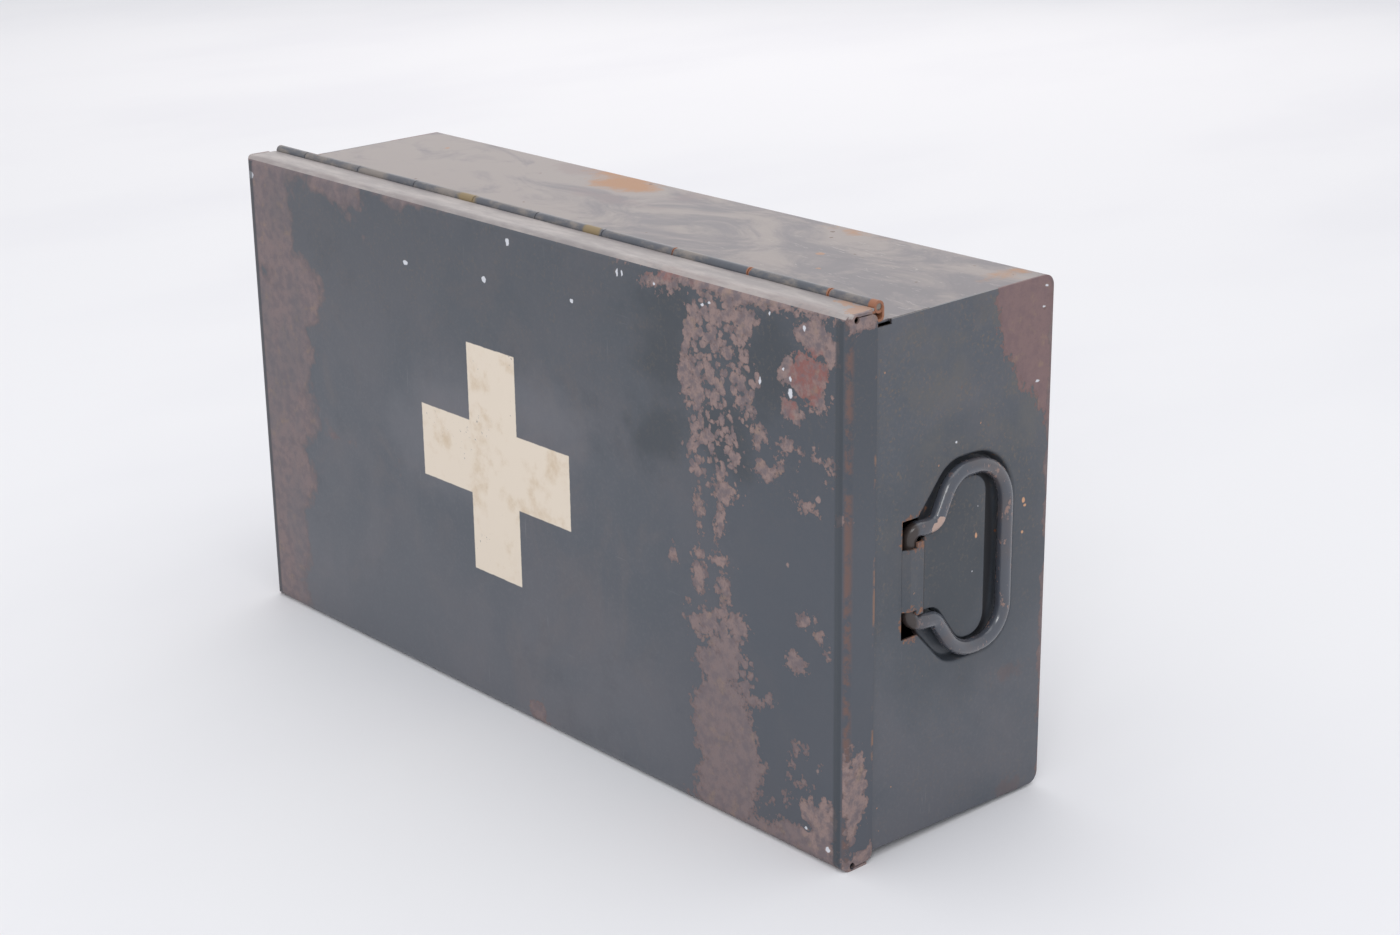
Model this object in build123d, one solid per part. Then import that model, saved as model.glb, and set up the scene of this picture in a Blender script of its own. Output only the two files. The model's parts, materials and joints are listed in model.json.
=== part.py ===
"""A steel first aid box: a bent sheet case, a hinged tray lid, two drop handles and two bolt catches.

Sizes are in millimetres. X runs along the box, Z is up. While a piece is shaped, Y is its
distance behind the lid's front face; every piece is moved to the box's own centre when it is
written. The box stands on its catch side, with the lid in front and the hinge on top.
"""

import os
from math import atan2, cos, radians, tan

from build123d import *

# Lid
lid_length = 414.0
lid_height = 230.0
lid_depth = 16.4
lid_sheet = 1.0
lid_bend_radius = 4.0
lid_corner_radius = 3.0
lid_seam_gap = 0.45
lid_relief_radius = 1.4
lid_relief_depth = 5.3
lid_relief_rise = 1.1

# Case
case_depth = 118.3
case_sheet = 1.0
case_bend_radius = 5.0
mouth_bottom_step = 4.6
mouth_top_step = 5.9
rear_bottom_step = 1.3
rear_top_step = 4.5
lid_side_clearance = 0.26
corner_notch_start = 16.8
corner_notch_length = 8.4
corner_notch_height = 1.9
corner_notch_width = 1.7

# Continuous hinge
knuckle_outer_radius = 2.5
hinge_pin_radius = 1.4
hinge_pin_clearance = 0.05
hinge_leaf_sheet = 1.0
hinge_end_margin = 2.0
hinge_lid_gap = 0.35
knuckle_pitch = 45.0
knuckle_shortest = 5.0
knuckle_end_gap = 0.5
knuckle_swing_clearance = 0.3
lid_leaf_reach = 11.0
case_leaf_reach = 14.0
case_leaf_bend_radius = 1.5

# Drop handles
wire_radius = 3.25
pivot_depth = 39.2
pivot_wall_clearance = 0.3
handle_half_spread = 38.8
root_half_spread = 19.6
rise_half_spread = 19.9
rise_length = 6.0
neck_reach = 12.3
neck_half_spread = 20.4
upper_shoulder_run = 9.5
lower_shoulder_run = 13.3
grip_reach = 53.4
wire_standing_out = 0.1
trunnion_end_gap = 6.0
trunnion_bend = 4.2
rise_bend = 5.0
neck_bend = 5.5
upper_shoulder_bend = 14.0
lower_shoulder_bend = 19.0
upper_grip_bend = 19.5
lower_grip_bend = 15.0
handle_height = 116.0

# Pressed dish in each end panel: a groove for the handle round a raised middle
dish_depth = 4.6
dish_grip_gap = 1.35
dish_top_gap = 2.15
dish_bottom_gap = 0.95
dish_neck_gap = 0.35
dish_neck_lead = 10.0
dish_shoulder_lead = 2.1
dish_draft = 20.0
dish_floor_radius = 1.2
dish_rim_radius = 1.8
dish_root_radius = 4.0
dish_shoulder_radius = 16.0
dish_upper_right_radius = 23.0
dish_lower_right_radius = 17.0
finger_gap = 7.55
island_drop = 0.8
island_edge_radius = 0.8
island_gap = 1.1
island_neck_radius = 8.0
island_shoulder_radius = 9.0
island_right_radius = 8.5

# Slots and the bridge between them
slot_swing_gap = 0.5
slot_rise_gap = 1.0
slot_inner_gap = 3.35
slot_step_gap = 1.05
slot_step_lead = 0.3
slot_outer_gap = 1.85
bridge_height = 1.9
bridge_near_gap = 0.05
bridge_far_gap = 0.75
bridge_fall = 1.6
bridge_bend = 0.8

# Clip behind the bridge
clip_sheet = 1.0
clip_clearance = 0.08
clip_half_length = 10.0
clip_flange = 13.0
clip_bend = 0.7
clip_lip = 0.8

# Bolt catches under the bottom wall
catch_from_end = 87.0
catch_centre_depth = 27.0
plate_sheet = 0.6
plate_half_length = 20.5
plate_margin = 0.4
bolt_thickness = 1.0
bolt_width = 8.0
bolt_length = 38.0
bolt_tip_setback = 1.0
bolt_clearance = 0.06
guide_sheet = 0.7
guide_width = 6.0
guide_spacing = 22.0
guide_foot = 3.7
guide_side_clearance = 0.7
guide_bend = 0.36
knob_radius = 3.5
knob_height = 1.3
knob_stem_radius = 1.25
knob_stop_clearance = 0.3
knob_edge_radius = 0.4
rivet_radius = 1.1
rivet_head_radius = 1.6
rivet_head_height = 0.7
rivet_head_rounding = 0.4
rivet_hole_clearance = 0.05
keeper_sheet = 0.8
keeper_width = 12.0
keeper_front = 5.0
keeper_lip_height = 3.6
keeper_bend = 1.0
keeper_clearance = 0.4
keeper_side_clearance = 0.5

# Places that follow from the sizes above
mouth_depth = lid_bend_radius
end_face = lid_length / 2 - lid_sheet - lid_side_clearance
catch_from_middle = lid_length / 2 - catch_from_end
hinge_half = lid_length / 2 - hinge_end_margin
hinge_depth = lid_depth + hinge_lid_gap + knuckle_outer_radius
hinge_height = lid_height
pivot_out = end_face + bridge_height - case_sheet - pivot_wall_clearance - wire_radius
wire_out = end_face + wire_standing_out
neck_depth = pivot_depth + neck_reach
upper_shoulder_depth = neck_depth + upper_shoulder_run
lower_shoulder_depth = neck_depth + lower_shoulder_run
grip_depth = pivot_depth + grip_reach
dish_left = neck_depth - dish_neck_lead
dish_shoulder = upper_shoulder_depth - dish_shoulder_lead
dish_right = grip_depth + wire_radius + dish_grip_gap
dish_root_half_height = max(rise_half_spread, neck_half_spread) + wire_radius + dish_neck_gap
dish_top = handle_half_spread + wire_radius + dish_top_gap
dish_bottom = handle_half_spread + wire_radius + dish_bottom_gap
island_inset = wire_radius + island_gap
island_right = grip_depth - wire_radius - finger_gap
slot_near = pivot_depth + pivot_out - wire_out - wire_radius - slot_swing_gap
slot_far = pivot_depth + rise_length + slot_rise_gap
slot_inner = root_half_spread - wire_radius - slot_inner_gap
slot_step = root_half_spread - wire_radius - slot_step_gap
slot_step_depth = pivot_depth + slot_step_lead
slot_outer = max(root_half_spread, rise_half_spread) + wire_radius + slot_outer_gap
bridge_near = pivot_depth - wire_radius - bridge_near_gap
bridge_far = pivot_depth + wire_radius + bridge_far_gap
bridge_foot = bridge_far + bridge_fall


def bottom_height(depth):
    """Height of the bottom wall's underside, which falls slightly towards the back."""
    share = (depth - mouth_depth) / (case_depth - mouth_depth)
    return mouth_bottom_step + share * (rear_bottom_step - mouth_bottom_step)


def top_height(depth):
    """Height of the top wall's upper face, which rises slightly towards the back."""
    share = (depth - mouth_depth) / (case_depth - mouth_depth)
    return lid_height - mouth_top_step + share * (mouth_top_step - rear_top_step)


def block(x_span, y_span, z_span):
    """A plain box between two values on each axis."""
    spans = (x_span, y_span, z_span)
    middle = [(low + high) / 2 for low, high in spans]
    sizes = [high - low for low, high in spans]
    return Pos(*middle) * Box(*sizes)


def along_x(profile, start, end):
    """Stretch a profile, drawn as depth across and height up, from start to end along the box."""
    return extrude(Plane((start, 0, 0), x_dir=(0, 1, 0), z_dir=(1, 0, 0)) * profile, amount=end - start)


def bent_sheet(points, bend, thickness):
    """Cross-section of a sheet bent along its middle line."""
    return trace(FilletPolyline(*points, radius=bend), line_width=thickness)


def hinge_rod(radius, start, end):
    """A round rod on the hinge's axis."""
    rod = Circle(radius)
    return along_x(Pos(hinge_depth, hinge_height) * rod, start, end)


# Case

def case_face(mouth):
    """Side outline of the case, from the given mouth to its back, with its two rear bends."""
    corners = [
        (mouth, bottom_height(mouth)),
        (case_depth, rear_bottom_step),
        (case_depth, lid_height - rear_top_step),
        (mouth, top_height(mouth)),
    ]
    face = make_face(Polyline(*corners, close=True))
    rear = face.vertices().sort_by(Axis.X)[-2:]
    return fillet(rear, case_bend_radius)


def corner_notch():
    """Open end of the corner weld, just behind the lid, at the right end's top edge."""
    start = corner_notch_start
    end = start + corner_notch_length
    low = top_height(start) - corner_notch_height
    outer = end_face
    return block((outer - corner_notch_width, outer + 1), (start, end), (low, lid_height))


def case_wrap():
    """The top, back and bottom walls, bent from one sheet."""
    whole = case_face(-2 * case_bend_radius)
    sheet = whole - offset(whole, -case_sheet)
    half = end_face - case_sheet
    wrap = along_x(sheet, -half, half)
    reach = lid_length
    wrap &= block((-reach, reach), (mouth_depth, case_depth + 1), (0, lid_height))
    notch = corner_notch()
    wrap -= notch
    wrap -= notch.mirror(Plane.YZ)
    holes = rivet_holes(-2 * case_sheet, 0)
    wrap -= holes
    wrap -= holes.mirror(Plane.YZ)
    return wrap


# End panels

def dish_outline():
    """Outline of the dish at the panel's face, as depth across and height over the handle's middle."""
    points = [
        (dish_left, -dish_root_half_height),
        (dish_shoulder, -dish_bottom),
        (dish_right, -dish_bottom),
        (dish_right, dish_top),
        (dish_shoulder, dish_top),
        (dish_left, dish_root_half_height),
    ]
    lower = [dish_root_radius, dish_shoulder_radius, dish_lower_right_radius]
    upper = [dish_upper_right_radius, dish_shoulder_radius, dish_root_radius]
    return make_face(FilletPolyline(*points, radius=lower + upper, close=True))


def island_outline():
    """Outline of the dish's raised middle: the handle's own outline, set in by the wire and a gap."""
    rise = rise_half_spread - island_inset
    neck = neck_half_spread - island_inset
    top = handle_half_spread - island_inset
    leg_height = handle_half_spread - neck_half_spread
    upper_shift = island_inset * tan(atan2(leg_height, upper_shoulder_run) / 2)
    lower_shift = island_inset * tan(atan2(leg_height, lower_shoulder_run) / 2)
    points = [
        (slot_near, -rise),
        (neck_depth + lower_shift, -neck),
        (lower_shoulder_depth + lower_shift, -top),
        (island_right, -top),
        (island_right, top),
        (upper_shoulder_depth + upper_shift, top),
        (neck_depth + upper_shift, neck),
        (slot_near, rise),
    ]
    half = [island_neck_radius, island_neck_radius, island_shoulder_radius, island_right_radius]
    return make_face(FilletPolyline(*points, radius=half + half[::-1], close=True))


def plug(outline, top, bottom, draft):
    """A block between two depths behind the panel's face, which narrows inwards by the draft."""
    height = bottom - top
    base = Plane((end_face - bottom, 0, handle_height), x_dir=(0, 1, 0), z_dir=(1, 0, 0))
    narrowing = height * tan(radians(draft))
    return extrude(base * offset(outline, -narrowing), amount=height, taper=-draft)


def dish_plug(grow, depth, floor_radius):
    """What the dish takes out of the panel, or its outside where it is grown by the sheet."""
    solid = plug(offset(dish_outline(), grow), 0, depth, dish_draft)
    return fillet(solid.faces().sort_by(Axis.X)[0].edges(), floor_radius)


def island_plug(grow, top, bottom, edge_radius):
    """The dish's raised middle, or the hollow behind it."""
    solid = plug(offset(island_outline(), grow), top, bottom, -dish_draft)
    return fillet(solid.faces().sort_by(Axis.X)[-1].edges(), edge_radius)


def bridge():
    """The raised strip between the slots, which the handle's ends lie behind."""
    middle = case_sheet / 2
    spare = 2 * bridge_bend
    points = [
        (slot_near - spare, end_face - middle),
        (slot_near, end_face - middle),
        (bridge_near, end_face + bridge_height - middle),
        (bridge_far, end_face + bridge_height - middle),
        (bridge_foot, end_face - island_drop - middle),
        (slot_far + spare, end_face - island_drop - middle),
    ]
    section = bent_sheet(points, bridge_bend, case_sheet)
    level = Plane((0, 0, handle_height - slot_step), x_dir=(0, 1, 0), z_dir=(0, 0, -1))
    strip = extrude(level * section, amount=-2 * slot_step)
    reach = end_face + bridge_height
    strip &= block((0, reach), (slot_near, slot_far), (0, lid_height))
    for low in (handle_height - slot_step, handle_height + slot_inner):
        strip -= block((0, reach), (slot_near, slot_step_depth), (low, low + slot_step - slot_inner))
    return strip


def right_end_panel():
    """The flat end sheet, with its handle dish, slots and bridge."""
    slant = case_sheet / cos(radians(dish_draft))
    sink = case_sheet * tan(radians(dish_draft))
    back = dish_depth + case_sheet
    panel = along_x(case_face(mouth_depth), end_face - case_sheet, end_face)
    panel += dish_plug(slant, back, dish_floor_radius + case_sheet)
    groove = dish_plug(0, dish_depth, dish_floor_radius)
    panel -= groove - island_plug(0, island_drop, dish_depth, island_edge_radius)
    panel -= island_plug(sink - slant, island_drop + case_sheet, back + case_sheet, island_edge_radius)
    rim = panel.edges().filter_by_position(Axis.X, end_face - 0.01, end_face + 0.01)
    rim = rim.filter_by_position(Axis.Y, dish_left - 1, dish_right + 1)
    rim = rim.filter_by_position(Axis.Z, handle_height - dish_bottom - 1, handle_height + dish_top + 1)
    panel = fillet(rim, dish_rim_radius)
    panel -= block(
        (0, lid_length),
        (slot_near, slot_far),
        (handle_height - slot_outer, handle_height + slot_outer),
    )
    panel += bridge()
    panel -= corner_notch()
    return panel


def handle_clip():
    """The half-round clip welded inside the end panel, round the handle's inturned ends."""
    arc_radius = wire_radius + clip_clearance + clip_sheet / 2
    inner_face = end_face - case_sheet
    flange_out = inner_face - clip_sheet / 2
    near = pivot_depth - arc_radius
    far = pivot_depth + arc_radius
    flange = FilletPolyline(
        (near - clip_flange, flange_out), (near, flange_out), (near, pivot_out), radius=clip_bend
    )
    saddle = ThreePointArc((near, pivot_out), (pivot_depth, pivot_out - arc_radius), (far, pivot_out))
    lip = Line((far, pivot_out), (far, pivot_out + clip_lip))
    section = trace(flange + saddle + lip, line_width=clip_sheet)
    level = Plane((0, 0, handle_height - clip_half_length), x_dir=(0, 1, 0), z_dir=(0, 0, -1))
    return extrude(level * section, amount=-2 * clip_half_length)


# Handles

def right_handle():
    """The drop handle: one bent wire whose ends turn towards each other behind the bridge."""
    end = [
        (pivot_out, pivot_depth, trunnion_end_gap / 2),
        (pivot_out, pivot_depth, root_half_spread),
        (wire_out, pivot_depth + rise_length, rise_half_spread),
        (wire_out, neck_depth, neck_half_spread),
    ]
    grip = [
        (wire_out, upper_shoulder_depth, handle_half_spread),
        (wire_out, grip_depth, handle_half_spread),
        (wire_out, grip_depth, -handle_half_spread),
        (wire_out, lower_shoulder_depth, -handle_half_spread),
    ]
    other_end = [(x, y, -z) for x, y, z in reversed(end)]
    end_bends = [trunnion_bend, rise_bend, neck_bend]
    grip_bends = [upper_shoulder_bend, upper_grip_bend, lower_grip_bend, lower_shoulder_bend]
    path = FilletPolyline(*end, *grip, *other_end, radius=end_bends + grip_bends + end_bends[::-1])
    start = Plane(end[0], z_dir=(0, 0, 1))
    wire = sweep(start * Circle(wire_radius), path=path)
    return Pos(0, 0, handle_height) * wire


# Hinge

def knuckle_spans():
    """Start and end of each knuckle's share of the hinge, from the left."""
    count = int((hinge_half - knuckle_shortest) / knuckle_pitch)
    joints = [knuckle_pitch * place for place in range(-count, count + 1)]
    ends = [-hinge_half] + joints + [hinge_half]
    return list(zip(ends[:-1], ends[1:]))


def knuckled(leaf, own, other):
    """Add a leaf's own knuckles, clear the other leaf's, and bore the pin hole."""
    for start, end in own:
        gap = knuckle_end_gap / 2
        leaf += hinge_rod(knuckle_outer_radius, start + gap, end - gap)
    for start, end in other:
        leaf -= hinge_rod(knuckle_outer_radius + knuckle_swing_clearance, start, end)
    return leaf - hinge_rod(hinge_pin_radius + hinge_pin_clearance, -lid_length, lid_length)


def lid_hinge_leaf():
    """The leaf welded under the lid's top flange, with every other knuckle from the left end."""
    top = lid_height - lid_sheet
    front = hinge_depth - knuckle_outer_radius - lid_leaf_reach
    plate = block((-hinge_half, hinge_half), (front, hinge_depth), (top - hinge_leaf_sheet, top))
    spans = knuckle_spans()
    return knuckled(plate, spans[0::2], spans[1::2])


def case_hinge_leaf():
    """The leaf welded on the case's top wall under the lid, turned up behind the barrel."""
    middle = hinge_leaf_sheet / 2
    back = hinge_depth + knuckle_outer_radius - middle
    front = back - case_leaf_reach
    slope = atan2(top_height(back) - top_height(front), back - front)
    lift = middle / cos(slope)
    points = [
        (front, top_height(front) + lift),
        (back, top_height(back) + lift),
        (back, hinge_height),
    ]
    section = bent_sheet(points, case_leaf_bend_radius, hinge_leaf_sheet)
    plate = along_x(section, -hinge_half, hinge_half)
    spans = knuckle_spans()
    return knuckled(plate, spans[1::2], spans[0::2])


def hinge_pin():
    """The wire that the knuckles turn on."""
    half = hinge_half - knuckle_end_gap
    return hinge_rod(hinge_pin_radius, -half, half)


# Lid

def lid_corner_cuts():
    """Seam, relief hole and rounded rear corner of the right side flange, at the bottom corner."""
    outer = lid_length / 2
    inner = outer - lid_sheet
    seam = block(
        (inner - 0.01, outer + 1),
        (lid_relief_depth, lid_depth + 1),
        (lid_sheet, lid_sheet + lid_seam_gap),
    )
    across = Plane((inner - 1, 0, 0), x_dir=(0, 1, 0), z_dir=(1, 0, 0))
    relief = Pos(lid_relief_depth, lid_sheet + lid_relief_rise) * Circle(lid_relief_radius)
    low = lid_sheet + lid_seam_gap
    corner = Pos(lid_depth, low) * Rectangle(2 * lid_corner_radius, 2 * lid_corner_radius)
    corner -= Pos(lid_depth - lid_corner_radius, low + lid_corner_radius) * Circle(lid_corner_radius)
    return seam + extrude(across * (relief + corner), amount=lid_sheet + 2)


def tray_block(wall, bend):
    """The lid's outside, or its inside at the given wall thickness, with its front edges bent."""
    length = lid_length - 2 * wall
    height = lid_height - 2 * wall
    plan = Pos(0, wall + lid_depth) * RectangleRounded(length, 2 * lid_depth, bend)
    side = Pos(wall + lid_depth, lid_height / 2) * RectangleRounded(2 * lid_depth, height, bend)
    return extrude(plan, amount=lid_height) & along_x(side, -lid_length, lid_length)


def lid_shell():
    """The folded tray lid, with its seams left open at the four corners."""
    shell = tray_block(0, lid_bend_radius) - tray_block(lid_sheet, lid_bend_radius - lid_sheet)
    shell &= block((-lid_length, lid_length), (0, lid_depth), (0, lid_height))
    upside_down = Plane((0, 0, lid_height / 2), z_dir=(0, 0, 1))
    for cut in (lid_corner_cuts(), lid_corner_cuts().mirror(upside_down)):
        shell -= cut
        shell -= cut.mirror(Plane.YZ)
    return shell


# Catches, shaped about the right catch's centre: X along its bolt, Y to the front, Z away from the wall

def catch_plane():
    """The bottom wall's underside at the right catch's centre, facing away from the case."""
    depth = catch_centre_depth
    slope = bottom_height(depth + 1) - bottom_height(depth)
    middle = (catch_from_middle, depth, bottom_height(depth))
    return Plane(middle, x_dir=(1, 0, 0), z_dir=(0, slope, -1))


def guide_places():
    """Middles of the two guides along the catch."""
    return (-plate_half_length + guide_width, -plate_half_length + guide_width + guide_spacing)


def guide_edge():
    """Distance from the bolt's middle to the outer face of a guide's leg."""
    return bolt_width / 2 + guide_side_clearance + guide_sheet


def rivet_places():
    """Places of the right catch's rivets, along the bolt and across it, in the guides' feet."""
    across = guide_edge() + guide_foot / 2
    return [(place, side * across) for place in guide_places() for side in (-1, 1)]


def rivet_holes(start, end):
    """Drills for the right catch's rivets, between two distances from the wall."""
    holes = Part()
    for along, across in rivet_places():
        drill = Plane((along, across, start)) * Circle(rivet_radius + rivet_hole_clearance)
        holes += extrude(drill, amount=end - start)
    return catch_plane().location * holes


def catch_plate():
    """The flat plate that the bolt slides on."""
    width = 2 * (guide_edge() + guide_foot + plate_margin)
    plate = catch_plane().location * extrude(Rectangle(2 * plate_half_length, width), amount=plate_sheet)
    return plate - rivet_holes(-1, 2 * plate_sheet)


def catch_guides():
    """Two bent straps that hold the bolt on its plate."""
    middle = guide_sheet / 2
    low = plate_sheet + middle
    high = plate_sheet + bolt_thickness + 2 * bolt_clearance + middle
    inner = guide_edge() - middle
    outer = guide_edge() + guide_foot
    points = [(-outer, low), (-inner, low), (-inner, high), (inner, high), (inner, low), (outer, low)]
    section = bent_sheet(points, guide_bend, guide_sheet)
    straps = Part()
    for place in guide_places():
        start = Plane((place - guide_width / 2, 0, 0), x_dir=(0, 1, 0), z_dir=(1, 0, 0))
        straps += extrude(start * section, amount=guide_width)
    return catch_plane().location * straps - rivet_holes(0, 4 * plate_sheet)


def knob_rest():
    """The knob's place along the catch while the bolt is drawn back against its first guide."""
    return guide_places()[0] + guide_width / 2 + knob_stop_clearance + knob_radius


def catch_bolt():
    """The flat bolt, drawn back."""
    low = plate_sheet + bolt_clearance
    tip = plate_half_length - bolt_tip_setback
    half = bolt_width / 2
    bar = block((tip - bolt_length, tip), (-half, half), (low, low + bolt_thickness))
    hole = Cylinder(knob_stem_radius + rivet_hole_clearance, 4 * bolt_thickness)
    return catch_plane().location * (bar - Pos(knob_rest(), 0, low) * hole)


def catch_knob():
    """The thumb knob, riveted through the bolt."""
    low = plate_sheet + bolt_clearance
    base = low + bolt_thickness
    head = Pos(0, 0, base + knob_height / 2) * Cylinder(knob_radius, knob_height)
    head = fillet(head.edges().sort_by(Axis.Z)[-1], knob_edge_radius)
    stem = Pos(0, 0, (low + base) / 2) * Cylinder(knob_stem_radius, bolt_thickness)
    return catch_plane().location * (Pos(knob_rest(), 0, 0) * (head + stem))


def catch_rivets():
    """Four rivets through the guides' feet, the plate and the bottom wall."""
    inside = -case_sheet
    outside = plate_sheet + guide_sheet
    rivets = Part()
    for along, across in rivet_places():
        shank = Pos(0, 0, (inside + outside) / 2) * Cylinder(rivet_radius, outside - inside)
        head = Cylinder(rivet_head_radius, rivet_head_height)
        outer_head = Pos(0, 0, outside + rivet_head_height / 2) * head
        inner_head = Pos(0, 0, inside - rivet_head_height / 2) * head
        outer_head = fillet(outer_head.edges().sort_by(Axis.Z)[-1], rivet_head_rounding)
        inner_head = fillet(inner_head.edges().sort_by(Axis.Z)[0], rivet_head_rounding)
        rivets += Pos(along, across, 0) * (shank + outer_head + inner_head)
    return catch_plane().location * rivets


def keeper():
    """The hooked plate on the lid's bottom flange that the bolt slides in front of."""
    middle = keeper_sheet / 2
    low = lid_sheet + middle
    lip = catch_centre_depth + bolt_width / 2 + keeper_clearance + middle
    points = [(keeper_front, low), (lip, low), (lip, keeper_lip_height)]
    start = catch_from_middle + plate_half_length + keeper_side_clearance
    return along_x(bent_sheet(points, keeper_bend, keeper_sheet), start, start + keeper_width)


# The box

pieces = {
    "case_wrap": case_wrap(),
    "lid_shell": lid_shell(),
    "lid_hinge_leaf": lid_hinge_leaf(),
    "case_hinge_leaf": case_hinge_leaf(),
    "hinge_pin": hinge_pin(),
}
pairs = {
    "end_panel": right_end_panel(),
    "handle_clip": handle_clip(),
    "handle": right_handle(),
    "catch_plate": catch_plate(),
    "catch_guides": catch_guides(),
    "catch_bolt": catch_bolt(),
    "catch_knob": catch_knob(),
    "catch_rivets": catch_rivets(),
    "keeper": keeper(),
}
for name, piece in pairs.items():
    pieces["right_" + name] = piece
    pieces["left_" + name] = mirror(piece, about=Plane.YZ)

os.makedirs("parts", exist_ok=True)
for name, piece in pieces.items():
    export_step(Pos(0, -case_depth / 2, 0) * piece, f"parts/{name}.step")
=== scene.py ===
import json
from math import cos, sin

import bpy
from mathutils import Matrix, Vector

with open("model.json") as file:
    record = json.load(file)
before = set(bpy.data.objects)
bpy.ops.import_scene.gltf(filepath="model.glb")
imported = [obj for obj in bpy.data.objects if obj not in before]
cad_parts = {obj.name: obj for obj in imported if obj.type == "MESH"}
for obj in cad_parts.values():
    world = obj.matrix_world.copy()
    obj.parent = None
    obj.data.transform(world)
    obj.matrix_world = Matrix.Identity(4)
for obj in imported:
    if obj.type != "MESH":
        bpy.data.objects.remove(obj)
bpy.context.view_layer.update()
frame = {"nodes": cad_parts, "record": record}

nodes = frame["nodes"]

# Places in the row frame, in millimetres: X along the box, Y to its back and Z up
LID_HALF = 207.0
LID_TOP = 230.0
LID_FRONT = -59.15
LID_REAR = -42.75
LID_BEND = 4.0
CASE_BACK = 59.15
BACK_MIDDLE = 113.4
BACK_HALF_HEIGHT = 112.1
END_FACE = 205.74

# The case's top wall is TOP_HEIGHT up at the middle of its depth, and rises to the back
TOP_HEIGHT = 224.8
TOP_RISE = 0.0122

# Limits along Y on the ends: the slots' far side, the handle's roots and its grip
SLOTS_END = -12.4
ROOTS_END = -17.5
GRIP_START = 18.0


def srgb(red, green, blue):
    """Linear colour from 0-255 display values."""
    def linear(value):
        value /= 255
        return value / 12.92 if value <= 0.04045 else ((value + 0.055) / 1.055) ** 2.4
    return (linear(red), linear(green), linear(blue), 1.0)


# Colours of the enamel; the deep one also paints shade, the pale one a reflection
PAINT_BLUE = srgb(77, 82, 90)
PAINT_GREY = srgb(85, 87, 94)
PAINT_WARM = srgb(94, 90, 93)
PAINT_CLEAN = srgb(70, 75, 84)
PAINT_DEEP_AND_SHADE = srgb(55, 61, 68)
PAINT_PALE_AND_REFLECTION = srgb(112, 112, 118)
PAINT_OLIVE = srgb(92, 90, 88)
SCUFF_GREY = srgb(138, 138, 143)
STIPPLE_BROWN = srgb(116, 101, 86)
HANDLE_BLUE = srgb(72, 76, 85)
HANDLE_BROWN = srgb(82, 77, 80)

# Colours of the rust and of stains; the dark rust also paints shade
RUST_PINK = srgb(140, 120, 116)
RUST_MAUVE = srgb(107, 97, 101)
RUST_BROWN = srgb(104, 82, 77)
RUST_SAND = srgb(146, 124, 102)
RUST_DARK_AND_SHADE = srgb(48, 37, 33)
RUST_EDGE = srgb(132, 94, 72)
RUST_HEM = srgb(142, 106, 84)
RUST_RED = srgb(132, 86, 82)
RUST_TAN = srgb(170, 130, 104)
RUST_ORANGE = srgb(154, 98, 66)
RUST_GRIP = srgb(140, 112, 102)
STAIN_BROWN = srgb(128, 112, 112)
STAIN_ORANGE = srgb(168, 122, 84)
OCHRE = srgb(142, 122, 84)

# Colours of dust, two of them with painted sheen, of painted shade in the groove, of chips and
# specks, of the cross, of bare steel and of the floor
GRIME_AND_SHEEN = srgb(104, 97, 101)
DUST_HINGE = srgb(140, 130, 121)
DUST_WARM = srgb(153, 143, 138)
DUST_AND_SHEEN_GREY = srgb(155, 147, 145)
DUST_PALE = srgb(182, 174, 170)
SWIPE_PALE = srgb(186, 178, 172)
GROOVE_DARK = srgb(44, 43, 45)
FLAKE_TAN = srgb(196, 150, 118)
CHIP_PINK = srgb(172, 146, 134)
SPECK_WHITE = srgb(206, 208, 214)
CREAM = srgb(223, 210, 193)
CREAM_STAIN = srgb(196, 172, 140)
STEEL = srgb(140, 132, 124)
STEEL_BROWN = srgb(104, 90, 80)
CLOTH = srgb(233, 233, 235)
CLOTH_SHADE = srgb(229, 229, 232)

# Roughness
GLOSSY = 0.2
SMOOTH = 0.26
SATIN = 0.45
DULL = 0.5
WORN = 0.55
MATT = 0.6
RUSTY = 0.62
CAKED = 0.7

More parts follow.
